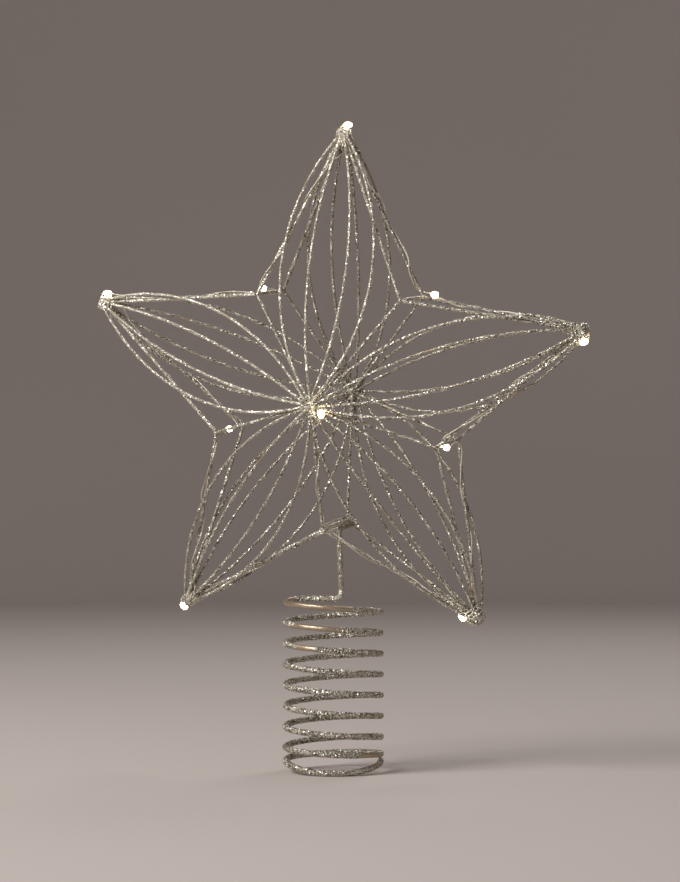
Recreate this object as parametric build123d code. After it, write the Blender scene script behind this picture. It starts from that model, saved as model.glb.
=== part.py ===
"""Tree-top star: a cage of glittered wire with small lights, on a spiral tree-top mount.

The frame has +Z up and the star facing -Y. The origin is on the axis of the mounting coil,
at the coil's open lower end, where the tip of the tree goes in.
The star is laid out flat in its own upright frame (X to the right, Y to the rear, Z up,
centre of the star at zero) and is then tipped and set on the stem.
"""
import os
from math import asin, cos, degrees, pi, radians, sin, sqrt, tan

from build123d import *

# Star outline, in millimetres
top_reach = 124.8
left_reach = 129.0
lower_left_reach = 128.5
lower_right_reach = 123.0
right_reach = 124.0
upper_left_valley_reach = 59.4
lower_left_valley_reach = 56.8
bottom_valley_reach = 59.6
lower_right_valley_reach = 56.6
upper_right_valley_reach = 59.4
valley_depth = 33.4
hub_depth = 58.8
front_hub_side = -2.4
front_hub_up = -0.8
rear_hub_side = -2.9
rear_hub_up = 0.5

# Star wires
strand_d = 1.1
strand_gap = 0.12
spacer_d = 1.6
spacer_overhang = 0.4
joint_gap = 0.15
weld_cover = 0.1
weld_gap = 0.05
hub_rim = 0.6

# Lights on their wire
led_wire_d = 0.8
led_drop_d = 3.0
led_drop_length = 4.4
led_end_wall = 0.15
led_seat_gap = 0.25
led_bore_gap = 0.05
chip_length = 1.2
chip_width = 0.8
chip_height = 0.5
chip_gap = 0.03
led_bend_radius = 1.6
led_bend_limit = 20.0
tip_run = 15.0
edge_stand = 1.7
centre_led_side = 6.5
centre_led_down = 2.9

# Mounting coil and stem
mount_d = 2.6
coil_radius = 22.2
open_turns = 7
closing_turns = 1
open_pitch = 9.7
closing_pitch = 6.3
end_dip = 3.9
end_rise = 3.4
coil_start_angle = 199.0
lead_in_radius = 8.0
lead_in_drop = 1.1
stem_height = 34.8
stem_bend = 2.6
stem_foot_side = 2.1
stem_back = 5.6
arm_drop = 1.5
arm_length = 9.0
arm_turn = 45.0
arm_rise = 15.0

# Set of the star on its stem: its side step, and its angles in degrees
bar_side = 0.9
star_lean = 8.3
star_roll = 4.5

# Sizes that follow from those above
strand_r = strand_d / 2
strand_step = strand_d + strand_gap
mount_r = mount_d / 2
inner_layer = strand_step / 2
outer_layer = inner_layer + strand_step
led_wire_r = led_wire_d / 2
led_bore_r = led_wire_r + led_bore_gap
drop_r = led_drop_d / 2
weld_r = sqrt(2) * outer_layer + strand_r + weld_cover
QUARTERS_PER_TURN = 4
END_QUARTERS = 2
open_quarters = open_turns * QUARTERS_PER_TURN
closing_quarters = closing_turns * QUARTERS_PER_TURN
dip_quarter = open_quarters + closing_quarters
coil_quarters = dip_quarter + END_QUARTERS
coil_top = mount_r + open_turns * open_pitch + closing_turns * closing_pitch + end_dip
lead_in_z = coil_top + lead_in_drop
bar_z = lead_in_z + stem_height

# Arms and valleys in turn, anticlockwise from the top arm as seen from the front
ARM_STEP = 72.0
FIRST_ARM_ANGLE = 90.0
ARMS = {
    "top": top_reach,
    "left": left_reach,
    "lower_left": lower_left_reach,
    "lower_right": lower_right_reach,
    "right": right_reach,
}
ARM_NAMES = list(ARMS)
VALLEYS = {
    "upper_left": upper_left_valley_reach,
    "lower_left": lower_left_valley_reach,
    "bottom": bottom_valley_reach,
    "lower_right": lower_right_valley_reach,
    "upper_right": upper_right_valley_reach,
}
VALLEY_NAMES = list(VALLEYS)
ANTICLOCKWISE = 1
CLOCKWISE = -1
SIDE_NAMES = {
    "top": {ANTICLOCKWISE: "left", CLOCKWISE: "right"},
    "left": {ANTICLOCKWISE: "lower", CLOCKWISE: "upper"},
    "lower_left": {ANTICLOCKWISE: "right", CLOCKWISE: "left"},
    "lower_right": {ANTICLOCKWISE: "right", CLOCKWISE: "left"},
    "right": {ANTICLOCKWISE: "upper", CLOCKWISE: "lower"},
}
FRONT = -1
REAR = 1
SHELL_NAMES = {FRONT: "front", REAR: "rear"}
HUB_SHIFT = {FRONT: (front_hub_side, front_hub_up), REAR: (rear_hub_side, rear_hub_up)}

# Ribs leave the hub evenly spread: four to an arm, two on each side of its axis
RIBS_AROUND_HUB = 20
rib_spread = 360.0 / RIBS_AROUND_HUB
hub_r = strand_step / (2 * sin(radians(rib_spread / 2)))
hub_thickness = 3 * strand_step + hub_rim

star_turn = Rot(star_lean, 0, 0) * Rot(0, star_roll, 0)
bar_place = Pos(bar_side, 0, bar_z) * star_turn
star_place = bar_place * Pos(0, 0, bottom_valley_reach)


def polar(angle, radius, depth):
    """A point of the upright star from its angle, its distance from the axis and its depth."""
    return Vector(radius * cos(radians(angle)), depth, radius * sin(radians(angle)))


def arm_angle(arm):
    return FIRST_ARM_ANGLE + ARM_STEP * ARM_NAMES.index(arm)


def valley_angle(valley):
    return FIRST_ARM_ANGLE + ARM_STEP * (VALLEY_NAMES.index(valley) + 0.5)


def arm_point(arm, inward, side, depth):
    """A point given by its distance in from the arm's tip, its anticlockwise offset and its depth."""
    angle = arm_angle(arm)
    return polar(angle, ARMS[arm] - inward, depth) + polar(angle + 90, side, 0)


def valley_beside(arm, turn):
    """The valley on one side of an arm."""
    index = ARM_NAMES.index(arm)
    return VALLEY_NAMES[index if turn == ANTICLOCKWISE else index - 1]


def valley_spot(valley, stand, depth):
    """A point beside a valley's rod, given by its distance out from the rod's axis and its depth."""
    return polar(valley_angle(valley), VALLEYS[valley] + stand, depth)


def valley_point(valley, shell):
    return valley_spot(valley, 0, shell * valley_depth / 2)


def post_radius(valley):
    """Radius of the rod that joins the front and rear vertex of a valley."""
    return mount_r if valley == "bottom" else spacer_d / 2


def hub_centre(shell):
    side, up = HUB_SHIFT[shell]
    return Vector(side, shell * hub_depth / 2, up)


def rod(start, end, radius):
    """A straight round rod between two points."""
    axis = end - start
    return Solid.extrude(Face(Wire(Edge.make_circle(radius, Plane(start, z_dir=axis)))), axis)


def tube(path, radius):
    """A round wire along a path of lines and arcs."""
    return sweep(Plane(path @ 0, z_dir=path % 0) * Circle(radius), path=path)


def stop_short(start, end, distance):
    """The point on the way from start to end that is a distance short of the end."""
    return end - (end - start).normalized() * distance


def weld_centre(arm):
    return arm_point(arm, weld_r, 0, 0)


def outside_weld(arm, wire):
    """A wire of an arm, ended on the weld bead at the arm's tip."""
    keep_out = Pos(weld_centre(arm)) * Sphere(weld_r + weld_gap)
    return wire - keep_out


def edge_wire(arm, shell, turn):
    """One straight outline wire, from the weld at the tip to the rod in the valley."""
    valley = valley_beside(arm, turn)
    start = arm_point(arm, weld_r, turn * inner_layer, shell * inner_layer)
    end = stop_short(start, valley_point(valley, shell), post_radius(valley) + joint_gap)
    return outside_weld(arm, rod(start, end, strand_r))


# The ribs of one face of an arm in turn, from its anticlockwise side: the side and the order from the middle
RIB_PLACES = [(ANTICLOCKWISE, 2), (ANTICLOCKWISE, 1), (CLOCKWISE, 1), (CLOCKWISE, 2)]
# How far each of them is bent out from a straight line; they were bent by hand, and no two are alike
RIB_BOWS = {
    ("top", FRONT): (20.5, 8.0, 9.0, 20.3),
    ("top", REAR): (19.0, 8.3, 3.3, 17.8),
    ("left", FRONT): (19.6, 8.2, 6.4, 19.4),
    ("left", REAR): (18.2, 8.4, 5.7, 14.4),
    ("lower_left", FRONT): (17.2, 6.4, 6.9, 18.2),
    ("lower_left", REAR): (18.9, 8.8, 8.4, 15.6),
    ("lower_right", FRONT): (18.6, 9.3, 2.2, 15.6),
    ("lower_right", REAR): (21.0, 7.5, 9.6, 17.5),
    ("right", FRONT): (17.6, 9.2, 8.0, 17.0),
    ("right", REAR): (17.5, 7.4, 9.3, 20.3),
}
RIB_SAMPLES = 40


def rib_lift(arm, shell, turn, arc):
    """How far the middle of a rib has to rise for the rib to pass over the edge beside it."""
    valley = valley_beside(arm, turn)
    half_step = radians(ARM_STEP / 2)
    edge_run = ARMS[arm] - weld_r - VALLEYS[valley] * cos(half_step)
    edge_spread = VALLEYS[valley] * sin(half_step) - inner_layer
    edge_rise = valley_depth / 2 - inner_layer
    chord_middle = (arc @ 0 + arc @ 1) * 0.5
    chord_way = (arc @ 1 - arc @ 0).normalized()
    bow = (arc @ 0.5 - chord_middle).length
    lifts = [0.0]
    for index in range(1, RIB_SAMPLES):
        point = arc @ (index / RIB_SAMPLES)
        run = ARMS[arm] - weld_r - point.dot(polar(arm_angle(arm), 1, 0))
        spread = turn * point.dot(polar(arm_angle(arm) + 90, 1, 0))
        edge_share = run / edge_run
        beside = inner_layer + edge_spread * edge_share - spread > strand_step
        if edge_share < 1 and not beside:
            offset = point - arc @ 0
            bow_share = (offset - chord_way * offset.dot(chord_way)).length / bow
            clear_depth = inner_layer + edge_rise * edge_share + strand_step
            lifts.append((clear_depth - shell * point.Y) / bow_share)
    return max(lifts)


def rib_wire(arm, shell, turn, order, bow):
    """One bowed rib, from the weld at the tip to the hub; order is 1 for the inner pair."""
    steps_out = order - 0.5
    start = arm_point(arm, weld_r, turn * steps_out * strand_step, shell * outer_layer)
    hub_layer = 0 if turn == ANTICLOCKWISE else strand_step
    hub_angle = arm_angle(arm) + turn * steps_out * rib_spread
    end = hub_centre(shell) + polar(hub_angle, hub_r + joint_gap, shell * hub_layer)
    chord = (end - start).normalized()
    sideways = polar(arm_angle(arm) + 90, turn, 0)
    outward = (sideways - chord * sideways.dot(chord)).normalized()
    middle = (start + end) * 0.5 + outward * bow
    lift = rib_lift(arm, shell, turn, ThreePointArc(start, middle, end))
    middle += Vector(0, shell * lift, 0)
    return outside_weld(arm, tube(ThreePointArc(start, middle, end), strand_r))


def rib_group(arm, shell):
    """The four ribs of one face of an arm."""
    ribs = []
    for (turn, order), bow in zip(RIB_PLACES, RIB_BOWS[arm, shell]):
        ribs.append(rib_wire(arm, shell, turn, order, bow))
    return ribs


def ridge_wire(valley, shell):
    """One straight wire from the hub down to a valley, under the ribs."""
    under = -shell * strand_step
    start = hub_centre(shell) + polar(valley_angle(valley), hub_r + joint_gap, under)
    end = stop_short(start, valley_point(valley, shell), post_radius(valley) + joint_gap)
    return rod(start, end, strand_r)


def spacer(valley):
    """The rod through a valley that holds the front and rear outlines apart."""
    half = valley_depth / 2 + strand_r + spacer_overhang
    return rod(valley_spot(valley, 0, -half), valley_spot(valley, 0, half), post_radius(valley))


def hub(shell):
    """The bead of solder where the ribs and ridges of one face meet."""
    bead = Cylinder(hub_r, hub_thickness, rotation=(90, 0, 0))
    bead = fillet(bead.edges().filter_by(GeomType.CIRCLE), hub_rim)
    return Pos(hub_centre(shell)) * bead


def tip_weld(arm):
    return Pos(weld_centre(arm)) * Sphere(weld_r)


# Route of the light wire, clockwise round the star from the bottom valley.
# Each run along an arm's edge keeps to the front or the rear outline at its valley end.
RUN_SHELL = {
    ("lower_left", ANTICLOCKWISE): REAR,
    ("lower_left", CLOCKWISE): FRONT,
    ("left", ANTICLOCKWISE): REAR,
    ("left", CLOCKWISE): REAR,
    ("top", ANTICLOCKWISE): FRONT,
    ("top", CLOCKWISE): REAR,
    ("right", ANTICLOCKWISE): REAR,
    ("right", CLOCKWISE): FRONT,
    ("lower_right", ANTICLOCKWISE): REAR,
    ("lower_right", CLOCKWISE): FRONT,
}
BEND_SHARE = 0.45
GENTLE_HALF_TURN = 20.0
STRING_ARMS = ["lower_left", "left", "top", "right", "lower_right"]
# Tips whose light is on the very end, with its step to the clockwise side
END_LED_STEP = {"top": 1.7, "lower_left": 0.0}
# Tips whose light is on the clockwise side, with its step back from the end
SIDE_LED_STEP = {"left": 0.0, "right": 1.0, "lower_right": 4.3}
# Where the light lies along a valley's spacer: 0 in the middle, 1 at the rear vertex
SPACER_LED = {"lower_left": -0.4, "upper_left": -0.31, "lower_right": -0.5}
# Valleys whose light lies on the inner side of the spacer, with the wire wound once round it
WOUND_VALLEYS = ["lower_left"]
WINDING_SHARE = 0.6
# The last valley's light is on the edge after its spacer
edge_led_run = 4.7

valley_stand = spacer_d / 2 + drop_r + led_seat_gap
bar_stand = mount_r + led_wire_r + led_seat_gap
tip_stand = drop_r + led_seat_gap
led_half_run = led_drop_length / 2 + led_bend_radius + led_seat_gap
tip_half_width = led_half_run
side_led_back = led_half_run


def run_end(arm, turn):
    """Where the light wire passes the valley end of an arm's edge."""
    valley = valley_beside(arm, turn)
    stand = bar_stand if valley == "bottom" else valley_stand
    return valley_spot(valley, stand, RUN_SHELL[arm, turn] * valley_depth / 2)


def beside_spacer(valley, turn, depth):
    """A point beside a valley's spacer, turned round it from its outer side."""
    return valley_spot(valley, 0, depth) + polar(valley_angle(valley) + turn, valley_stand, 0)


def spacer_winding(valley, led_depth):
    """The corners of one turn of the wire round a spacer, with a straight run at its inner side for the light."""
    near = led_depth - led_half_run
    far = led_depth + led_half_run
    front = FRONT * valley_depth / 2
    rear = REAR * valley_depth / 2
    return [
        beside_spacer(valley, 90.0, front + (near - front) * WINDING_SHARE),
        beside_spacer(valley, 180.0, near),
        beside_spacer(valley, 180.0, far),
        beside_spacer(valley, 270.0, rear + (far - rear) * WINDING_SHARE),
    ]


def tip_corner(arm, turn):
    return arm_point(arm, -tip_stand, turn * tip_half_width - END_LED_STEP.get(arm, 0.0), 0)


def run_start(arm, turn):
    """The end of the stretch between the front and rear outlines, near an arm's tip."""
    to_valley = valley_point(valley_beside(arm, turn), FRONT) - arm_point(arm, weld_r, 0, 0)
    across = abs(to_valley.dot(polar(arm_angle(arm) + 90, 1, 0)))
    along = -to_valley.dot(polar(arm_angle(arm), 1, 0))
    edge_side = inner_layer + (tip_run - weld_r) * across / along
    return arm_point(arm, tip_run, turn * (edge_side + edge_stand), 0)


def centre_led_place():
    stand = hub_thickness / 2 + drop_r + led_seat_gap
    return hub_centre(FRONT) + Vector(centre_led_side, -stand, -centre_led_down)


def light_string():
    """The corners of the light wire's route, and each light's centre and direction by its name."""
    route = []
    lights = {}
    for arm in STRING_ARMS:
        valley = valley_beside(arm, ANTICLOCKWISE)
        passed = run_end(arm, ANTICLOCKWISE)
        if valley in SPACER_LED:
            led_depth = SPACER_LED[valley] * valley_depth / 2
            led_turn = 0.0
            if valley in WOUND_VALLEYS:
                led_turn = 180.0
                route.extend(spacer_winding(valley, led_depth))
            lights[f"{valley}_valley_led"] = (beside_spacer(valley, led_turn, led_depth), Vector(0, 1, 0))
            route.append(passed)
        elif route:
            onward = (run_start(arm, ANTICLOCKWISE) - passed).normalized()
            lights[f"{valley}_valley_led"] = (passed + onward * edge_led_run, onward)
        else:
            route.append(passed)
        route.append(run_start(arm, ANTICLOCKWISE))
        route.append(tip_corner(arm, ANTICLOCKWISE))
        route.append(tip_corner(arm, CLOCKWISE))
        route.append(run_start(arm, CLOCKWISE))
        route.append(run_end(arm, CLOCKWISE))
        if arm in END_LED_STEP:
            place = arm_point(arm, -tip_stand, -END_LED_STEP[arm], 0)
            way = polar(arm_angle(arm) + 90, 1, 0)
        else:
            way = (run_start(arm, CLOCKWISE) - tip_corner(arm, CLOCKWISE)).normalized()
            place = tip_corner(arm, CLOCKWISE) + way * (side_led_back + SIDE_LED_STEP[arm])
        lights[f"{arm}_tip_led"] = (place, way)
    # Forward under the front end of the stem's bar, then up across the ribs to the hub
    before_bar = valley_depth / 2 + strand_r + spacer_overhang + 2 * led_bend_radius
    turn_up = valley_spot("bottom", bar_stand, -before_bar)
    upward = (centre_led_place() - turn_up).normalized()
    route.append(turn_up)
    route.append(centre_led_place() + upward * led_drop_length / 2)
    lights["centre_led"] = (centre_led_place(), upward)
    return route, lights


def bend_radii(route):
    """A bend radius for each corner of a route, as large as its runs and the limit allow."""
    radii = []
    for before, corner, after in zip(route, route[1:], route[2:]):
        half_turn = radians((corner - before).get_angle(after - corner)) / 2
        shorter = min((corner - before).length, (after - corner).length)
        radius = BEND_SHARE * shorter / tan(half_turn)
        limit = led_bend_limit if degrees(half_turn) < GENTLE_HALF_TURN else led_bend_radius
        radii.append(min(radius, limit))
    return radii


def light_frame(light):
    place, direction = light
    return Plane(place, z_dir=direction)


def led_drop(light):
    """A clear resin drop on the wire, with a pocket for the chip at the side of its bore."""
    half = led_drop_length / 2
    nose_r = led_bore_r + led_end_wall
    profile = make_face(
        Line((0, -half), (nose_r, -half))
        + ThreePointArc((nose_r, -half), (drop_r, 0), (nose_r, half))
        + Line((nose_r, half), (0, half))
        + Line((0, half), (0, -half))
    )
    drop = revolve(Plane.XZ * profile, Axis.Z)
    drop = drop - Cylinder(led_bore_r, led_drop_length * 2)
    pocket_reach = led_bore_r + chip_height + 2 * chip_gap
    pocket = Box(pocket_reach, chip_width + 2 * chip_gap, chip_length + 2 * chip_gap)
    drop = drop - Pos(pocket_reach / 2, 0, 0) * pocket
    return light_frame(light) * drop


def chip_place():
    return Pos(led_bore_r + chip_gap + chip_height / 2, 0, 0)


def led_chip(light):
    return light_frame(light) * chip_place() * Box(chip_height, chip_width, chip_length)


def biarc(start, start_way, end, end_way):
    """Two arcs that leave one point and reach another in given directions."""
    span = end - start
    both = start_way + end_way
    square = 2 * (1 - start_way.dot(end_way))
    reach = (-span.dot(both) + sqrt(span.dot(both) ** 2 + square * span.dot(span))) / square
    first = start + start_way * reach
    second = end - end_way * reach
    middle = (first + second) * 0.5
    return [
        TangentArc(start, middle, tangent=start_way),
        TangentArc(middle, end, tangent=second - first),
    ]


def quarter_drop(quarter):
    """How far the coil comes down in one quarter turn; its last half turn sags at the front."""
    if quarter < open_quarters:
        return open_pitch / QUARTERS_PER_TURN
    if quarter < dip_quarter:
        return closing_pitch / QUARTERS_PER_TURN
    if quarter == dip_quarter:
        return end_dip
    return -end_rise


def coil_station(quarter):
    """The coil's wire at the start of a quarter turn: its point and its direction."""
    angle = radians(coil_start_angle + 90 * quarter)
    height = coil_top - sum(quarter_drop(index) for index in range(quarter))
    fall = (quarter_drop(max(quarter - 1, 0)) + quarter_drop(quarter)) / 2
    arc_length = radians(90) * coil_radius
    point = Vector(coil_radius * cos(angle), coil_radius * sin(angle), height)
    way = Vector(-sin(angle) * arc_length, cos(angle) * arc_length, -fall)
    return point, way.normalized()


# The wire comes off the stem's foot along a spoke, and turns from the spoke into the first turn
stem_foot = Vector(stem_foot_side, stem_back, lead_in_z)
lead_in_centre = Vector(coil_radius - lead_in_radius, 0, lead_in_z).rotate(Axis.Z, coil_start_angle)
to_centre = lead_in_centre - stem_foot
lead_in_lag = degrees(asin(lead_in_radius / to_centre.length))
spoke_way = to_centre.normalized().rotate(Axis.Z, -lead_in_lag)
spoke_end = stem_foot + spoke_way * sqrt(to_centre.length ** 2 - lead_in_radius ** 2)
split_point = spoke_end - spoke_way * mount_d


def coil_path():
    """The coil's centre line: straight off the stem, into the first turn and down."""
    edges = [Line(split_point, spoke_end)]
    edges.extend(biarc(spoke_end, spoke_way, *coil_station(0)))
    for quarter in range(coil_quarters):
        edges.extend(biarc(*coil_station(quarter), *coil_station(quarter + 1)))
    end, way = coil_station(coil_quarters)
    edges.append(Line(end, end + way * mount_d))
    return edges


GAP_SAMPLES = 6


def least_gap(edges, wire_d, apart):
    """The least free gap of a wound wire to itself, on points at least a length apart."""
    points = []
    walked = 0.0
    for edge in edges:
        for index in range(GAP_SAMPLES):
            share = index / GAP_SAMPLES
            points.append((walked + edge.length * share, edge @ share))
        walked += edge.length
    gaps = []
    for index, (here, point) in enumerate(points):
        for there, other in points[index + 1:]:
            if there - here > apart:
                gaps.append((point - other).length - wire_d)
    return min(gaps)


def stem():
    """The upright of the mount, from the spoke up to its arm, which lies along the star's bar."""
    arm_start = Vector(bar_side, stem_back, bar_z - arm_drop)
    arm_way = Vector(0, 1, 0).rotate(Axis.X, arm_rise).rotate(Axis.Z, -arm_turn)
    arm_end = arm_start + arm_way * arm_length
    path = FilletPolyline(split_point, stem_foot, arm_start, arm_end, radius=stem_bend)
    bar_keep_out = Cylinder(mount_r + weld_gap, valley_depth, rotation=(90, 0, 0))
    return tube(path, mount_r) - bar_place * bar_keep_out


def save(name, shapes):
    """Write one node from its separate solids."""
    solids = []
    for shape in shapes:
        solids.extend(shape.solids())
    body = solids[0] if len(solids) == 1 else Compound(children=solids)
    body.label = name
    export_step(body, f"parts/{name}.step")


def save_star(name, shapes):
    """Write one node of the star, tipped and set on the stem."""
    save(name, [star_place * shape for shape in shapes])


os.makedirs("parts", exist_ok=True)

for shell, shell_name in SHELL_NAMES.items():
    save_star(f"{shell_name}_hub", [hub(shell)])
    save_star(f"{shell_name}_ridges", [ridge_wire(valley, shell) for valley in VALLEY_NAMES])
    for arm in ARM_NAMES:
        save_star(f"{arm}_{shell_name}_ribs", rib_group(arm, shell))
        for turn, side_name in SIDE_NAMES[arm].items():
            save_star(f"{arm}_{shell_name}_{side_name}_edge", [edge_wire(arm, shell, turn)])

for arm in ARM_NAMES:
    save_star(f"{arm}_tip_weld", [tip_weld(arm)])

for valley in VALLEY_NAMES:
    save_star("stem_bar" if valley == "bottom" else f"{valley}_spacer", [spacer(valley)])

string_route, string_lights = light_string()
string_radii = bend_radii(string_route)
string_path = FilletPolyline(*string_route, radius=string_radii)
save_star("light_wire", [tube(string_path, led_wire_r)])
for light_name, light in string_lights.items():
    save_star(light_name, [led_drop(light)])
save_star("led_chips", [led_chip(light) for light in string_lights.values()])
print("light wire", round(string_path.length), "mm, tightest bend", round(min(string_radii), 2))

coil_edges = coil_path()
save("mounting_coil", [tube(Wire(coil_edges), mount_r)])
coil_gap = least_gap(coil_edges, mount_d, pi * coil_radius)
print("coil height", round(lead_in_z + mount_r, 1), "least gap to itself", round(coil_gap, 2))
save("stem", [stem()])
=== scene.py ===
"""Looks of the tree-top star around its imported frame.

The wires get a crust of glitter flakes, the lights glow in resin drops on a fine twisted pair of wires,
and the star stands in a plain pale studio. Metres, +Z up, the star facing -Y.
"""
import math

import bmesh
import bpy
import numpy as np
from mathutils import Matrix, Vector, noise


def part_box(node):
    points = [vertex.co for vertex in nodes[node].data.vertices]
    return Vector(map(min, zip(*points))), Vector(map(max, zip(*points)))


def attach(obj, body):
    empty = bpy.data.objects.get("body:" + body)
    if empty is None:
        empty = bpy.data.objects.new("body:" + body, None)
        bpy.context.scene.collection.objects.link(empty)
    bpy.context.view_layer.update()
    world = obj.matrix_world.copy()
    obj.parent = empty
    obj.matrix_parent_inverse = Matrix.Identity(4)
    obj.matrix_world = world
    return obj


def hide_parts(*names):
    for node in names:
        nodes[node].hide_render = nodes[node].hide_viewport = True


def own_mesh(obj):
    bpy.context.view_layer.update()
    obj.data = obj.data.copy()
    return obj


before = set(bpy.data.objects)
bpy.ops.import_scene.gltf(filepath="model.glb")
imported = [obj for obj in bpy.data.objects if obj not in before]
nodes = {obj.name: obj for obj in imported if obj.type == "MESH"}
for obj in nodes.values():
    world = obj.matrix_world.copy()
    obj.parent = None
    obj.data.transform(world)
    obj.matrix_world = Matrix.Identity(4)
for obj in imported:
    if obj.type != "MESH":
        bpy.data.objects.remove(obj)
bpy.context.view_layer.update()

# Camera, set to the photograph's frame of 680 by 882 pixels
IMAGE_HEIGHT = 882
SENSOR_LONG_SIDE = 36.0
focal_pixels = 2339.8
camera_distance = 1.100
camera_azimuth = math.radians(20.22)
camera_elevation = math.radians(-2.07)
aim_height = 0.1547
aim_side = 0.0032

# Softboxes: degrees to the right of the camera, degrees up, distance, size, watts and colour
SOFTBOXES = {
    "key_softbox": (-56.0, 34.0, 1.8, 0.8, 30.0, (1.0, 0.98, 0.95)),
    "fill_softbox": (60.0, 15.0, 1.9, 1.2, 0.9, (1.0, 0.98, 0.96)),
    "back_softbox": (150.0, 50.0, 1.8, 0.6, 6.0, (1.0, 0.97, 0.94)),
}
AIR_COLOUR = (1.0, 0.985, 0.97, 1.0)
AIR_STRENGTH = 0.18

# Glitter: the size of its flakes, how far they stand up, and the thickness of the crust
star_grain = 0.00036
star_relief = 0.00007
star_crust = 0.00017
edge_crust = 0.00028
mount_grain = 0.00042
mount_relief = 0.00009
mount_crust = 0.00010
SIDE_RELIEF_SHARE = 0.6
BARE_SMOOTHING = 0.85

# Where the glitter is bare or worn
star_bare_share = 0.03
bare_patch = 0.016
BARE_PATCH_FADE = 0.06
stem_bare_reach = 0.0075
stem_bare_fade = 0.001
stem_foot = 0.005
stem_worn_fade = 0.002
stem_worn_level = 0.35

# Wires
strand_r = 0.00055
mount_r = 0.0013
STRAND_SIDES = 10
# A tube that starts off steeper than this has its sides counted from X, others from Z
STEEP_RISE = 0.9
# Reach of a wire's end, in radii, and the distance within which split corners are joined
END_SPREAD = 2.2
JOIN_DISTANCE = 1e-6

# Joints: the bead of a hub and how near the wires come to its middle, as shares of the way from it
hub_bead_r = 0.0020
HUB_STRAND_SHARES = (0.5, 0.05)
# The bead and the bundle of a tip, as shares of the weld's radius and of each wire's place across the arm
TIP_BEAD_REACH = 0.25
TIP_BEAD_SHARE = 0.8
BUNDLE_WAIST_REACH = 0.1
BUNDLE_WAIST_SPREAD = 1.05
BUNDLE_END_REACH = 0.85
BUNDLE_END_SPREAD = 0.95

# Lights
led_drop_r = 0.0015
DROP_FULLNESS = 0.8
core_share = 0.55
led_power = 0.0015

# Light wire: a twisted pair, its turns round the tips, and its distance from the wires it is wound round
pair_strand_r = 0.00022
pair_offset = 0.00023
pair_pitch = 0.0026
pair_step = 0.00035
PAIR_SIDES = 6
LINE_RESOLUTION = 40
tip_half_width = 0.0020
tip_stand = 0.0003
tip_wrap_turns = 3.25
tip_wrap_start = 0.0080
tip_wrap_end = 0.0022
tip_wrap_width = 0.0031
tip_wrap_depth = 0.0026
tip_wrap_flare = 0.36
TIP_WRAP_KNOTS = 26
wound_r = 0.0012
bar_wound_r = 0.0019

# Coil turns, which are counted from the top and start a lap before the coil's left
coil_pitch = 0.0097
coil_left_angle = 199.0
COIL_LAP = 20.0
# How far the glitter frays at the ends of a bare stretch, in degrees, and how finely
FRAY_DEGREES = 12.0
fray_grain = 0.0016
# Stretches of the coil with no glitter: the turn, and its start and end in degrees from the left
COIL_BARE = ((0, -20.0, 118.0), (1, 34.0, 105.0), (2, 38.0, 78.0), (7, 5.0, 30.0), (7, 118.0, 165.0))

ARMS = ("top", "left", "lower_left", "lower_right", "right")
# The arms whose front wires get the bright glitter, painted light, as they face the key light
PAINTED_LIT_ARMS = ("top_", "left_")
SHELLS = ("front", "rear")
# The names of each arm's edges, the anticlockwise one first
EDGE_SIDES = {
    "top": ("left", "right"),
    "left": ("lower", "upper"),
    "lower_left": ("right", "left"),
    "lower_right": ("right", "left"),
    "right": ("upper", "lower"),
}
# Each arm in the order of the light wire, with the edges it follows up and down and the light after them
STRING_RUNS = (
    ("lower_left", "lower_left_rear_right_edge", "lower_left_front_left_edge", "lower_left_valley_led"),
    ("left", "left_rear_lower_edge", "left_rear_upper_edge", "upper_left_valley_led"),
    ("top", "top_front_left_edge", "top_rear_right_edge", "upper_right_valley_led"),
    ("right", "right_rear_upper_edge", "right_front_lower_edge", "lower_right_valley_led"),
    ("lower_right", "lower_right_rear_right_edge", "lower_right_front_left_edge", "centre_led"),
)
# Tips whose light is on the very end; on the others it is on the clockwise side
END_LIT_TIPS = ("top", "lower_left")
# Where the light wire stands off an edge: its share of the way from the tip, half width as a share, reach
LOOPS = {
    "top_rear_right_edge": ((0.40, 0.09, 0.0034), (0.75, 0.035, 0.0018)),
    "right_rear_upper_edge": ((0.65, 0.06, 0.0018),),
    "right_front_lower_edge": ((0.28, 0.06, 0.0020),),
    "lower_left_front_left_edge": ((0.62, 0.05, 0.0020),),
}
# Runs of the light wire along the edges, the front ridge and the stem bar, with shares of their lengths
RUN_KNOTS = 15
RUN_TURNS = 1.5
RUN_LEAN = 0.7
RUN_TIP_SHARE = 0.14
RUN_VALLEY_SHARE = 0.05
RIDGE_RUN_SHARES = (0.06, 0.84)
BAR_RUN_SHARES = (0.12, 0.88)
BAR_RUN_TURNS = 0.2
UPPER_LEFT = Vector((-0.8, 0.0, 0.6))
RIGHT = Vector((1.0, 0.0, 0.0))
# How much of a long node counts as its end
END_REACH = 0.0012
LED_END_REACH = 0.0002


def link(name, mesh):
    """A new object of a mesh, in the scene."""
    piece = bpy.data.objects.new(name, mesh)
    bpy.context.scene.collection.objects.link(piece)
    return piece


def read_points(mesh, field="co"):
    values = np.empty(len(mesh.vertices) * 3, np.float32)
    mesh.vertices.foreach_get(field, values)
    return values.reshape(-1, 3).astype(float)


def box_middle(node):
    low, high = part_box(node)
    return (low + high) / 2


def seeded(name):
    """A random generator that depends only on a piece's name."""
    return np.random.default_rng(list(name.encode()))


# Nodes of a material

# A mix node's sockets for colours share their names with others, so they are counted
MIX_INPUTS = (0, 6, 7)
MIX_RESULT = 2


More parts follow.
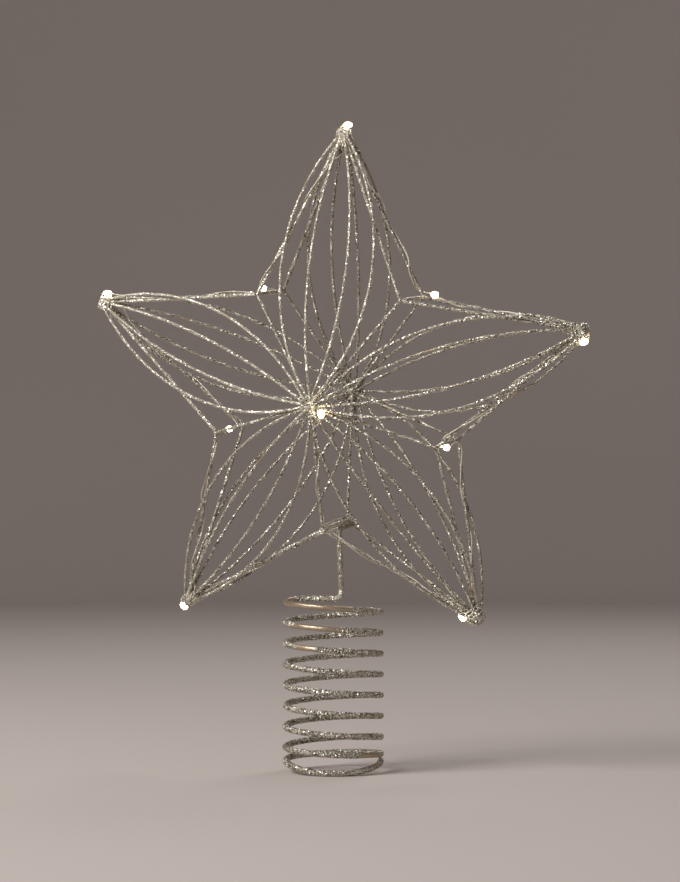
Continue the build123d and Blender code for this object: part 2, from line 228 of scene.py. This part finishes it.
class Shader:
    """A material's node tree with its Principled shader, and short ways to add nodes."""

    def __init__(self, name):
        self.material = bpy.data.materials.new(name)
        self.material.use_nodes = True
        self.tree = self.material.node_tree
        self.surface = self.tree.nodes["Principled BSDF"]

    def add(self, kind, settings=None, **inputs):
        node = self.tree.nodes.new(kind)
        for key, value in (settings or {}).items():
            setattr(node, key, value)
        for key, value in inputs.items():
            self.feed(value, node.inputs[key.replace("_", " ")])
        return node

    def feed(self, value, socket):
        if isinstance(value, bpy.types.NodeSocket):
            self.tree.links.new(value, socket)
        else:
            socket.default_value = value

    def set(self, **values):
        for key, value in values.items():
            self.feed(value, self.surface.inputs[key.replace("_", " ")])

    def position(self):
        return self.add("ShaderNodeTexCoord").outputs["Object"]

    def noise(self, scale, detail=2.0):
        node = self.add("ShaderNodeTexNoise", Vector=self.position(), Scale=scale, Detail=detail)
        return node.outputs["Fac"]

    def attribute(self, name):
        return self.add("ShaderNodeAttribute", {"attribute_name": name}).outputs["Fac"]

    def ramp(self, factor, stops):
        node = self.add("ShaderNodeValToRGB", Fac=factor)
        elements = node.color_ramp.elements
        while len(elements) < len(stops):
            elements.new(1.0)
        for element, (place, colour) in zip(elements, stops):
            element.position = place
            element.color = (*colour, 1.0)
        return node.outputs["Color"]

    def mix(self, factor, first, second):
        node = self.add("ShaderNodeMix", {"data_type": "RGBA"})
        for place, value in zip(MIX_INPUTS, (factor, first, second)):
            self.feed(value, node.inputs[place])
        return node.outputs[MIX_RESULT]

    def spread(self, value, low, high):
        """A value from 0 to 1 spread over another range."""
        return self.add("ShaderNodeMapRange", Value=value, To_Min=low, To_Max=high).outputs["Result"]

    def bump(self, height, strength, distance):
        node = self.add("ShaderNodeBump", Height=height, Strength=strength, Distance=distance)
        return node.outputs["Normal"]


# Materials

# Flakes of the bright clumps
SILVER_STOPS = (
    (0.0, (0.14, 0.12, 0.08)),
    (0.2, (0.40, 0.365, 0.28)),
    (0.45, (0.70, 0.66, 0.55)),
    (0.8, (0.90, 0.87, 0.77)),
    (1.0, (1.0, 0.985, 0.94)),
)
# Flakes of the dark clumps between them
SHADE_STOPS = (
    (0.0, (0.022, 0.018, 0.011)),
    (0.5, (0.08, 0.07, 0.045)),
    (0.85, (0.33, 0.30, 0.225)),
    (1.0, (1.0, 0.985, 0.94)),
)
BRASS = ((0.53, 0.44, 0.33, 1.0), (0.36, 0.28, 0.195, 1.0))
DARK_STEEL = ((0.17, 0.145, 0.11, 1.0), (0.28, 0.24, 0.185, 1.0))
BARE_ROUGHNESS = (0.36, 0.36, 0.36, 1.0)
# Glitters: the scale of the clumps, where their noise turns from dark to bright, and the metal beneath
GLITTERS = {
    # bright, speckled and dark are lit and shaded copies of one glitter: painted light on the fronts that
    # face the key light, painted shade on the other fronts and on the rear wires
    "bright": (1900.0, 0.35, 0.46, BRASS),
    "speckled": (1900.0, 0.43, 0.53, BRASS),
    "dark": (1900.0, 0.46, 0.56, BRASS),
    # bar has more bright clumps than the rest, a painted highlight over its side turned away from the key
    # light
    "bar": (1300.0, 0.34, 0.43, BRASS),
    "mount": (1900.0, 0.41, 0.58, BRASS),
    "stem": (1700.0, 0.35, 0.53, DARK_STEEL),
}
GLOW_TONES = ((1.0, 0.92, 0.76, 1.0), (1.0, 0.86, 0.64, 1.0))
GLOW_STRENGTH = 10.0
LAMP_COLOUR = (1.0, 0.84, 0.60)
PHOSPHOR_TONES = ((1.0, 0.86, 0.5, 1.0), (0.95, 0.75, 0.35, 1.0))
ENAMEL_STOPS = ((0.3, (0.52, 0.45, 0.34)), (0.5, (0.80, 0.755, 0.65)), (0.7, (0.93, 0.91, 0.86)))
PAPER_TONES = ((0.57, 0.51, 0.485, 1.0), (0.59, 0.53, 0.505, 1.0))


def glitter_material(name, clump_scale, shade_start, shade_end, bare_metal):
    """Metal flakes in bright and dark clumps, with smooth metal where the glitter is bare."""
    shader = Shader(name)
    flake = shader.attribute("flake")
    bare = shader.attribute("bare")
    clump = shader.ramp(shader.noise(clump_scale), ((shade_start, (0, 0, 0)), (shade_end, (1, 1, 1))))
    flakes = shader.mix(clump, shader.ramp(flake, SHADE_STOPS), shader.ramp(flake, SILVER_STOPS))
    metal = shader.mix(shader.noise(scale=300.0), *bare_metal)
    shader.set(
        Base_Color=shader.mix(bare, flakes, metal),
        Metallic=0.75,
        Roughness=shader.mix(bare, shader.spread(flake, low=0.5, high=0.25), BARE_ROUGHNESS),
        Normal=shader.bump(shader.noise(scale=9000.0), strength=0.35, distance=0.00005),
    )
    return shader.material


def resin_material():
    """Clear cast resin, lit from inside."""
    shader = Shader("led_resin")
    shader.set(
        Base_Color=(1.0, 0.95, 0.84, 1.0),
        Roughness=shader.spread(shader.noise(scale=1500.0), low=0.05, high=0.2),
        Transmission_Weight=0.85,
        IOR=1.45,
        Emission_Color=(1.0, 0.84, 0.58, 1.0),
        Emission_Strength=0.7,
        Normal=shader.bump(shader.noise(scale=900.0), strength=0.2, distance=0.0001),
    )
    return shader.material


def glow_material():
    """The lit heart of a drop."""
    shader = Shader("led_glow")
    warm = shader.mix(shader.noise(scale=1200.0), *GLOW_TONES)
    shader.set(Base_Color=warm, Emission_Color=warm, Emission_Strength=GLOW_STRENGTH)
    return shader.material


def chip_material():
    """The phosphor on a light's chip."""
    shader = Shader("led_chip")
    phosphor = shader.mix(shader.noise(scale=3000.0), *PHOSPHOR_TONES)
    shader.set(
        Base_Color=phosphor,
        Roughness=0.6,
        Emission_Color=phosphor,
        Emission_Strength=GLOW_STRENGTH,
    )
    return shader.material


def pair_material():
    """Thin enamelled wire: pale brass with silvery and darker stretches."""
    shader = Shader("light_wire")
    shader.set(
        Base_Color=shader.ramp(shader.noise(scale=140.0, detail=3.0), ENAMEL_STOPS),
        Metallic=0.95,
        Roughness=shader.spread(shader.noise(scale=700.0), low=0.22, high=0.4),
        Normal=shader.bump(shader.noise(scale=4000.0), strength=0.15, distance=0.00003),
    )
    return shader.material


def studio_material():
    """Plain matt paper, hardly mottled."""
    shader = Shader("studio_paper")
    shader.set(
        Base_Color=shader.mix(shader.noise(scale=3.0), *PAPER_TONES),
        Roughness=0.9,
        Normal=shader.bump(shader.noise(scale=900.0), strength=0.05, distance=0.0002),
    )
    return shader.material


# Camera, studio and light

def add_camera():
    """The camera, aimed at a point a little beside the mount's axis."""
    side = Vector((math.cos(camera_azimuth), math.sin(camera_azimuth), 0.0))
    level = Vector((math.sin(camera_azimuth), -math.cos(camera_azimuth), 0.0))
    back = level * math.cos(camera_elevation) + Vector((0.0, 0.0, math.sin(camera_elevation)))
    data = bpy.data.cameras.new("camera")
    data.sensor_width = SENSOR_LONG_SIDE
    data.lens = focal_pixels * SENSOR_LONG_SIDE / IMAGE_HEIGHT
    camera = link("camera", data)
    camera.location = Vector((0.0, 0.0, aim_height)) + side * aim_side + back * camera_distance
    camera.rotation_mode = "QUATERNION"
    camera.rotation_quaternion = (-back).to_track_quat("-Z", "Y")
    bpy.context.scene.camera = camera


def add_studio():
    """A round floor that sweeps up into a wall, the same from every side."""
    floor_r = 2.4
    sweep_r = 0.9
    sweep_steps = 16
    wall_top = 3.2
    around = 128
    join_distance = 1e-5
    profile = [(reach, 0.0) for reach in (0.0, 0.3, 1.0, floor_r)]
    for step in range(1, sweep_steps + 1):
        turn = math.radians(90.0 * step / sweep_steps)
        profile.append((floor_r + sweep_r * math.sin(turn), sweep_r * (1.0 - math.cos(turn))))
    profile.append((floor_r + sweep_r, wall_top))
    studio = bmesh.new()
    line = [studio.verts.new((x, 0.0, z)) for x, z in profile]
    edges = [studio.edges.new(pair) for pair in zip(line, line[1:])]
    bmesh.ops.spin(
        studio,
        geom=line + edges,
        cent=(0, 0, 0),
        axis=(0, 0, 1),
        angle=math.tau,
        steps=around,
        use_merge=True,
    )
    bmesh.ops.remove_doubles(studio, verts=studio.verts, dist=join_distance)
    mesh = bpy.data.meshes.new("studio_floor")
    studio.to_mesh(mesh)
    studio.free()
    mesh.shade_smooth()
    mesh.materials.append(studio_material())
    floor = link("studio_floor", mesh)


def add_softbox(name, azimuth, elevation, distance, size, power, colour):
    """A square lamp aimed at the star; the azimuth is counted from the camera's, to its right."""
    turn = camera_azimuth + math.radians(azimuth)
    rise = math.radians(elevation)
    way = Vector((math.sin(turn) * math.cos(rise), -math.cos(turn) * math.cos(rise), math.sin(rise)))
    data = bpy.data.lights.new(name, "AREA")
    data.size = size
    data.energy = power
    data.color = colour
    lamp = link(name, data)
    lamp.location = Vector((0.0, 0.0, aim_height)) + way * distance
    lamp.rotation_mode = "QUATERNION"
    lamp.rotation_quaternion = (-way).to_track_quat("-Z", "Y")


def add_light():
    """The softboxes and the even light of the air."""
    for name, settings in SOFTBOXES.items():
        add_softbox(name, *settings)
    world = bpy.data.worlds.new("studio_air")
    world.use_nodes = True
    background = world.node_tree.nodes["Background"]
    background.inputs["Color"].default_value = AIR_COLOUR
    background.inputs["Strength"].default_value = AIR_STRENGTH
    bpy.context.scene.world = world
    bpy.context.scene.view_settings.view_transform = "Standard"


# Glitter crust

def set_attribute(mesh, name, domain, values):
    layer = mesh.attributes.new(name, "FLOAT", domain)
    layer.data.foreach_set("value", np.asarray(values, np.float32))


def remeshed(mesh, grain):
    """The mesh made over in small even faces; separate shells that cross become one."""
    draft = link("draft", mesh)
    modifier = draft.modifiers.new("even_faces", "REMESH")
    modifier.mode = "VOXEL"
    modifier.voxel_size = grain
    shapes = bpy.context.evaluated_depsgraph_get()
    made = bpy.data.meshes.new_from_object(draft.evaluated_get(shapes))
    bpy.data.objects.remove(draft)
    return made


def bare_stretches(points, share, patch):
    """How bare of glitter each point is, from 0 to 1, in soft patches of about a given size."""
    field = np.array([noise.noise(Vector(point) / patch) for point in points])
    edge = np.quantile(field, 1.0 - share) if len(field) else 0.0
    return np.clip((field - edge) / BARE_PATCH_FADE, 0.0, 1.0)


def crust(name, mesh, grain, relief, depth, bare_of):
    """A crust of flat flakes over a mesh, smooth and thin where it is bare."""
    draws = seeded(name)
    flakes = remeshed(mesh, grain)
    points = read_points(flakes)
    normals = read_points(flakes, "normal")
    bare = bare_of(points)
    rough = relief * (1.0 - BARE_SMOOTHING * bare)[:, None]
    points += normals * depth * (1.0 - bare)[:, None]
    points += normals * draws.normal(0.0, 1.0, len(points))[:, None] * rough
    points += draws.normal(0.0, SIDE_RELIEF_SHARE, points.shape) * rough
    flakes.vertices.foreach_set("co", points.astype(np.float32).ravel())
    set_attribute(flakes, "bare", "POINT", bare)
    set_attribute(flakes, "flake", "FACE", draws.random(len(flakes.polygons)))
    flakes.shade_flat()
    flakes.update()
    return link(name, flakes)


def dress(piece, body, slot, material, *stands_for):
    """Finish a piece: its material, the body it rides on and the nodes that it stands for."""
    piece.data.materials.clear()
    piece.data.materials.append(material)
    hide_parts(*stands_for)
    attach(piece, body)


def cad_mesh(node):
    """A copy of a CAD node's mesh with its split corners joined."""
    copy = bmesh.new()
    copy.from_mesh(nodes[node].data)
    bmesh.ops.remove_doubles(copy, verts=copy.verts, dist=JOIN_DISTANCE)
    mesh = bpy.data.meshes.new(node)
    copy.to_mesh(mesh)
    copy.free()
    return mesh


# Shapes read from the frame

def long_ends(node, reach):
    """The two ends of a long node: the middles of its points within a reach of each end."""
    points = read_points(nodes[node].data)
    middle = points.mean(axis=0)
    way = np.linalg.svd(points - middle, full_matrices=False)[2][0]
    along = (points - middle) @ way
    first = points[along < along.min() + reach].mean(axis=0)
    second = points[along > along.max() - reach].mean(axis=0)
    return Vector(first), Vector(second)


def shells_of(node):
    """The points of each separate solid of a node."""
    shape = bmesh.new()
    shape.from_mesh(cad_mesh(node))
    waiting = set(shape.verts)
    shells = []
    while waiting:
        reached = [waiting.pop()]
        for vert in reached:
            for edge in vert.link_edges:
                other = edge.other_vert(vert)
                if other in waiting:
                    waiting.discard(other)
                    reached.append(other)
        shells.append(np.array([vert.co for vert in reached]))
    shape.free()
    return shells


def end_near(points, target):
    """The middle of the wire end that lies nearest to a point."""
    nearest = points[np.linalg.norm(points - np.array(target), axis=1).argmin()]
    near = np.linalg.norm(points - nearest, axis=1) < END_SPREAD * strand_r
    return Vector(points[near].mean(axis=0))


def wire_ends(name_start, shell_names, kinds, target):
    """The ends near a point of every wire whose node's name starts and ends in given ways."""
    ends = []
    for node in sorted(nodes):
        if node.startswith(name_start) and any(shell in node for shell in shell_names):
            if node.endswith(kinds):
                ends.extend(end_near(points, target) for points in shells_of(node))
    return ends


# Round shells

def tube_shell(points, radius, sides):
    """Points and faces of a closed round tube along a line of points."""
    line = np.array([list(point) for point in points], float)
    ways = np.gradient(line, axis=0)
    ways /= np.linalg.norm(ways, axis=1)[:, None]
    steep = abs(ways[0][2]) >= STEEP_RISE
    across = np.cross(ways[0], (1.0, 0.0, 0.0) if steep else (0.0, 0.0, 1.0))
    turns = np.arange(sides) * math.tau / sides
    corners = []
    for point, way in zip(line, ways):
        across -= way * (across @ way)
        across /= np.linalg.norm(across)
        up = np.cross(way, across)
        corners.append(point + radius * (np.outer(np.cos(turns), across) + np.outer(np.sin(turns), up)))
    faces = []
    for ring in range(len(line) - 1):
        for side in range(sides):
            here = ring * sides + side
            beside = ring * sides + (side + 1) % sides
            faces.append((here, beside, beside + sides, here + sides))
    faces.append(tuple(range(sides))[::-1])
    faces.append(tuple((len(line) - 1) * sides + side for side in range(sides)))
    return np.concatenate(corners), faces


def mesh_of_shells(name, shells):
    """One mesh of several shells, each given as its points and faces."""
    points = []
    faces = []
    for shell_points, shell_faces in shells:
        start = len(points)
        points.extend(map(tuple, shell_points))
        faces.extend(tuple(start + index for index in face) for face in shell_faces)
    mesh = bpy.data.meshes.new(name)
    mesh.from_pydata(points, [], faces)
    mesh.update()
    return mesh


def ball_shell(centre, radius):
    """Points and faces of a ball."""
    ball = bmesh.new()
    bmesh.ops.create_icosphere(ball, subdivisions=3, radius=radius)
    points = np.array([vert.co for vert in ball.verts]) + np.array(centre)
    faces = [tuple(vert.index for vert in face.verts) for face in ball.faces]
    ball.free()
    return points, faces


# Wires

def star_crust_on(name, mesh, depth=star_crust):
    return crust(name, mesh, star_grain, star_relief, depth, star_bare)


def star_bare(points):
    return bare_stretches(points, star_bare_share, bare_patch)


def mount_crust_on(name, mesh, bare_of):
    return crust(name, mesh, mount_grain, mount_relief, mount_crust, bare_of)


def never_bare(points):
    return np.zeros(len(points))


def stem_bare(points):
    """How bare the stem is at each point: worn above its foot, and bare at its cut end, the highest."""
    end = points[points[:, 2].argmax()]
    from_end = np.linalg.norm(points - end, axis=1)
    above_foot = points[:, 2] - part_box("stem")[0].z - stem_foot
    bare = np.clip((stem_bare_reach - from_end) / stem_bare_fade, 0.0, 1.0)
    worn = np.clip(above_foot / stem_worn_fade, 0.0, stem_worn_level)
    return np.maximum(bare, worn)


def coil_bare(points):
    """How bare the coil is at each point: along its stretches with no glitter, with frayed ends."""
    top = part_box("mounting_coil")[1].z - mount_r
    angles = np.degrees(np.arctan2(points[:, 1], points[:, 0])) - coil_left_angle
    angles = (angles + COIL_LAP) % 360.0 - COIL_LAP
    turns = np.round((top - points[:, 2]) / coil_pitch - angles / 360.0)
    fray = np.array([noise.noise(Vector(point) / fray_grain) for point in points])
    bare = np.zeros(len(points))
    for turn, start, end in COIL_BARE:
        inside = np.minimum(angles - start, end - angles) / FRAY_DEGREES + fray
        bare = np.maximum(bare, np.where(turns == turn, np.clip(inside, 0.0, 1.0), 0.0))
    return bare


def painted_light_glitter_of(node, glitters):
    """Painted light and shade on the star's glitter: bright on the front of the two arms that face the key
    light, darker on the other arms' fronts, and darkest, painted shade, on the rear.
    """
    if "rear_" in node:
        return glitters["dark"]
    if node.startswith(PAINTED_LIT_ARMS):
        return glitters["bright"]
    return glitters["speckled"]


def add_wires(glitters):
    """Glitter on every wire of the star, on the stem and its bar, and on the coil."""
    for node in sorted(nodes):
        if node.endswith(("_edge", "_ribs", "_ridges", "_spacer")):
            depth = edge_crust if node.endswith("_edge") else star_crust
            piece = star_crust_on(f"{node}_glitter", cad_mesh(node), depth)
            dress(piece, "star", "star_wire", painted_light_glitter_of(node, glitters), node)
    stem = mount_crust_on("stem_glitter", cad_mesh("stem"), stem_bare)
    dress(stem, "star", "mount_wire", glitters["stem"], "stem")
    bar = mount_crust_on("stem_bar_glitter", cad_mesh("stem_bar"), never_bare)
    # The bar's lighter glitter is a painted highlight
    dress(bar, "star", "mount_wire", glitters["bar"], "stem_bar")
    coil = mount_crust_on("mounting_coil_glitter", cad_mesh("mounting_coil"), coil_bare)
    dress(coil, "mount", "mount_wire", glitters["mount"], "mounting_coil")
    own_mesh(coil)


# Joints of the wires

def add_hub_joints(glitters):
    """Where the wires of one face run together over each other, in the solder of the hub."""
    for shell in SHELLS:
        node = f"{shell}_hub"
        centre = box_middle(node)
        shells = []
        for end in wire_ends("", (shell,), ("_ribs", "_ridges"), centre):
            inner = [centre.lerp(end, share) for share in HUB_STRAND_SHARES]
            shells.append(tube_shell([end, *inner], strand_r, STRAND_SIDES))
        shells.append(ball_shell(centre, hub_bead_r))
        joint = star_crust_on(f"{node}_joint", mesh_of_shells(node, shells))
        dress(joint, "star", "solder", painted_light_glitter_of(node, glitters), node)


def valley_beside(arm, edge_side, tip):
    """The middle of the valley where an arm's front and rear edges of one side end."""
    ends = []
    for shell in SHELLS:
        edge_ends = long_ends(f"{arm}_{shell}_{edge_side}_edge", END_REACH)
        ends.append(max(edge_ends, key=lambda end: (end - tip).length))
    return (ends[0] + ends[1]) / 2


def tip_frame(arm):
    """The weld's middle and radius at an arm's tip, and the ways out of the arm and across it."""
    low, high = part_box(f"{arm}_tip_weld")
    middle = (low + high) / 2
    anticlockwise, clockwise = (valley_beside(arm, side, middle) for side in EDGE_SIDES[arm])
    outward = (middle - (anticlockwise + clockwise) / 2).normalized()
    across = anticlockwise - clockwise
    across = (across - outward * across.dot(outward)).normalized()
    return middle, (high.z - low.z) / 2, outward, across


def end_belongs(end, middle, weld_r):
    """Whether a wire end lies in or at a tip's weld."""
    return (end - middle).length < weld_r + 2 * strand_r


def add_tip_joints(glitters):
    """The bundle of wire ends at each tip, drawn together in the weld."""
    for arm in ARMS:
        node = f"{arm}_tip_weld"
        middle, weld_r, outward, _ = tip_frame(arm)
        shells = [ball_shell(middle + outward * TIP_BEAD_REACH * weld_r, TIP_BEAD_SHARE * weld_r)]
        for end in wire_ends(f"{arm}_", SHELLS, ("_edge", "_ribs"), middle):
            if end_belongs(end, middle, weld_r):
                offset = end - middle
                sideways = offset - outward * offset.dot(outward)
                waist = middle + outward * BUNDLE_WAIST_REACH * weld_r + sideways * BUNDLE_WAIST_SPREAD
                target = middle + outward * BUNDLE_END_REACH * weld_r + sideways * BUNDLE_END_SPREAD
                shells.append(tube_shell([end, waist, target], strand_r, STRAND_SIDES))
        joint = star_crust_on(f"{node}_joint", mesh_of_shells(node, shells))
        dress(joint, "star", "solder", painted_light_glitter_of(node, glitters), node)


# Lights

def drop_shell(first, second, radius, length_share):
    """A round drop between two points, drawn in to the wire at its ends."""
    rings = 17
    sides = 20
    middle = (first + second) / 2
    half = (second - first) / 2 * length_share
    way = half.normalized()
    across = way.orthogonal().normalized()
    up = way.cross(across)
    points = []
    for ring in range(rings):
        turn = math.pi * ring / (rings - 1)
        width = radius * max(math.sin(turn), 0.0) ** DROP_FULLNESS
        if ring in (0, rings - 1):
            points.append(middle - half * math.cos(turn))
            continue
        for side in range(sides):
            angle = math.tau * side / sides
            spoke = across * math.cos(angle) + up * math.sin(angle)
            points.append(middle - half * math.cos(turn) + spoke * width)
    faces = []
    for side in range(sides):
        faces.append((0, 1 + (side + 1) % sides, 1 + side))
        for ring in range(rings - 3):
            here = 1 + ring * sides + side
            beside = 1 + ring * sides + (side + 1) % sides
            faces.append((here, beside, beside + sides, here + sides))
        last = 1 + (rings - 3) * sides
        faces.append((last + side, last + (side + 1) % sides, len(points) - 1))
    return np.array([list(point) for point in points]), faces


def add_lights(resin, glow):
    """At each light a resin drop, a glowing heart and a small lamp that lights the wires about it."""
    for node in sorted(nodes):
        if node.endswith("_led"):
            first, second = long_ends(node, LED_END_REACH)
            drop = link(f"{node}_drop", mesh_of_shells(node, [drop_shell(first, second, led_drop_r, 1.0)]))
            drop.data.shade_smooth()
            drop.visible_shadow = False
            dress(drop, "star", "led_resin", resin, node)
            heart_shell = drop_shell(first, second, led_drop_r * core_share, core_share)
            heart = link(f"{node}_heart", mesh_of_shells(node, [heart_shell]))
            heart.data.shade_smooth()
            heart.visible_shadow = False
            heart.data.materials.append(glow)
            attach(heart, "star")
            data = bpy.data.lights.new(f"{node}_lamp", "POINT")
            data.energy = led_power
            data.color = LAMP_COLOUR
            data.shadow_soft_size = led_drop_r
            lamp = link(f"{node}_lamp", data)
            lamp.location = (first + second) / 2
            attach(lamp, "star")


# Light wire

def smooth_line(knots):
    """Closely spaced points of a smooth line through the knots."""
    curve = bpy.data.curves.new("line", "CURVE")
    curve.dimensions = "3D"
    curve.resolution_u = LINE_RESOLUTION
    spline = curve.splines.new("BEZIER")
    spline.bezier_points.add(len(knots) - 1)
    for knot, place in zip(spline.bezier_points, knots):
        knot.co = place
        knot.handle_left_type = "AUTO"
        knot.handle_right_type = "AUTO"
    draft = link("line", curve)
    shapes = bpy.context.evaluated_depsgraph_get()
    line = read_points(bpy.data.meshes.new_from_object(draft.evaluated_get(shapes)))
    bpy.data.objects.remove(draft)
    return line


def even_line(line, step):
    """The points of a line at even steps along it."""
    walked = np.concatenate([[0.0], np.cumsum(np.linalg.norm(np.diff(line, axis=0), axis=1))])
    places = np.linspace(0.0, walked[-1], int(walked[-1] / step))
    return np.stack([np.interp(places, walked, line[:, axis]) for axis in range(3)], axis=1)


def wound_knots(start, end, shares, outward, radius=wound_r, turns=RUN_TURNS, loops=()):
    """Knots of the light wire along a straight wire, wound slowly round it and standing off in its loops."""
    way = (end - start).normalized()
    off = (outward - way * outward.dot(way)).normalized()
    up = way.cross(off)
    near, far = shares
    knots = []
    for index in range(RUN_KNOTS):
        run = index / (RUN_KNOTS - 1)
        share = near + (far - near) * run
        turn = math.tau * turns * run
        point = start.lerp(end, share)
        point += (off * math.cos(turn) + up * math.sin(turn)) * radius
        for place, width, reach in loops:
            point += off * reach * math.exp(-(((share - place) / width) ** 2))
        knots.append(point)
    return knots


def edge_run(edge, from_tip, tip, outward):
    """Knots of the light wire along one edge, from or to its tip."""
    tip_end, valley_end = sorted(long_ends(edge, END_REACH), key=lambda end: (end - tip).length)
    loops = LOOPS.get(edge, ())
    if from_tip:
        shares = (RUN_TIP_SHARE, 1.0 - RUN_VALLEY_SHARE)
        return wound_knots(tip_end, valley_end, shares, outward, loops=loops)
    shares = (RUN_VALLEY_SHARE, 1.0 - RUN_TIP_SHARE)
    loops = [(1.0 - place, width, reach) for place, width, reach in loops]
    return wound_knots(valley_end, tip_end, shares, outward, loops=loops)


def bar_run():
    """Knots of the start of the light wire, on the upper left of the stem bar from its front to its rear."""
    front, rear = sorted(long_ends("stem_bar", END_REACH), key=lambda end: end.y)
    return wound_knots(front, rear, BAR_RUN_SHARES, UPPER_LEFT, bar_wound_r, BAR_RUN_TURNS)


def ridge_run():
    """Knots of the light wire up the front ridge of the bottom valley, towards the centre light."""
    ridge = min(shells_of("front_ridges"), key=lambda points: points[:, 2].min())
    foot = end_near(ridge, box_middle("stem_bar"))
    head = end_near(ridge, box_middle("front_hub"))
    return wound_knots(foot, head, RIDGE_RUN_SHARES, RIGHT)


def through_light(node, before):
    """A light's two ends, the one nearer to the last knot first."""
    return sorted(long_ends(node, LED_END_REACH), key=lambda end: (end - before).length)


def tip_wrap(tip, outward, across):
    """Knots of the wire's turns round the bundle of wires below a tip, towards the tip."""
    rear = outward.cross(across)
    knots = []
    for index in range(TIP_WRAP_KNOTS):
        share = index / (TIP_WRAP_KNOTS - 1)
        turn = math.tau * tip_wrap_turns * (share - 1.0)
        depth = tip_wrap_start + (tip_wrap_end - tip_wrap_start) * share
        width = tip_wrap_width + tip_wrap_flare * (depth - tip_wrap_end)
        around = across * math.cos(turn) * width + rear * math.sin(turn) * tip_wrap_depth
        knots.append(tip - outward * depth + around)
    return knots


def light_knots():
    """Knots of the whole light wire, from the bottom valley clockwise round the star to the centre."""
    knots = bar_run()
    for arm, up_edge, down_edge, valley in STRING_RUNS:
        middle, weld_r, outward, across = tip_frame(arm)
        tip = middle + outward * weld_r
        end = tip + outward * tip_stand
        knots.extend(edge_run(up_edge, False, middle, outward.lerp(across, RUN_LEAN)))
        knots.extend(tip_wrap(tip, outward, across))
        knots.append(end + across * tip_half_width)
        if arm not in END_LIT_TIPS:
            knots.append(end - across * tip_half_width)
        knots.extend(through_light(f"{arm}_tip_led", knots[-1]))
        if arm in END_LIT_TIPS:
            knots.append(end - across * tip_half_width)
            knots.extend(tip_wrap(tip, outward, -across)[::-1])
        knots.extend(edge_run(down_edge, True, middle, outward.lerp(-across, RUN_LEAN)))
        if valley == "centre_led":
            knots.extend(ridge_run())
        knots.extend(through_light(valley, knots[-1]))
    return knots


def add_light_wire(material):
    """The twisted pair of thin wires that carries the lights."""
    line = even_line(smooth_line(light_knots()), pair_step)
    ways = np.gradient(line, axis=0)
    ways /= np.linalg.norm(ways, axis=1)[:, None]
    across = np.array(Vector(ways[0]).orthogonal().normalized())
    strands = ([], [])
    for index, (point, way) in enumerate(zip(line, ways)):
        across = across - way * (across @ way)
        across /= np.linalg.norm(across)
        turn = math.tau * index * pair_step / pair_pitch
        spoke = across * math.cos(turn) + np.cross(way, across) * math.sin(turn)
        strands[0].append(point + spoke * pair_offset)
        strands[1].append(point - spoke * pair_offset)
    shells = [tube_shell(strand, pair_strand_r, PAIR_SIDES) for strand in strands]
    pair = link("light_wire_pair", mesh_of_shells("light_wire_pair", shells))
    pair.data.shade_smooth()
    dress(pair, "star", "light_wire", material, "light_wire")


# The whole scene

add_camera()
add_studio()
add_light()
glitters = {name: glitter_material(f"{name}_glitter", *look) for name, look in GLITTERS.items()}
add_wires(glitters)
add_hub_joints(glitters)
add_tip_joints(glitters)
add_lights(resin_material(), glow_material())
add_light_wire(pair_material())
# The chips keep their CAD shape and get a material alone
nodes["led_chips"].data.materials.clear()
nodes["led_chips"].data.materials.append(chip_material())
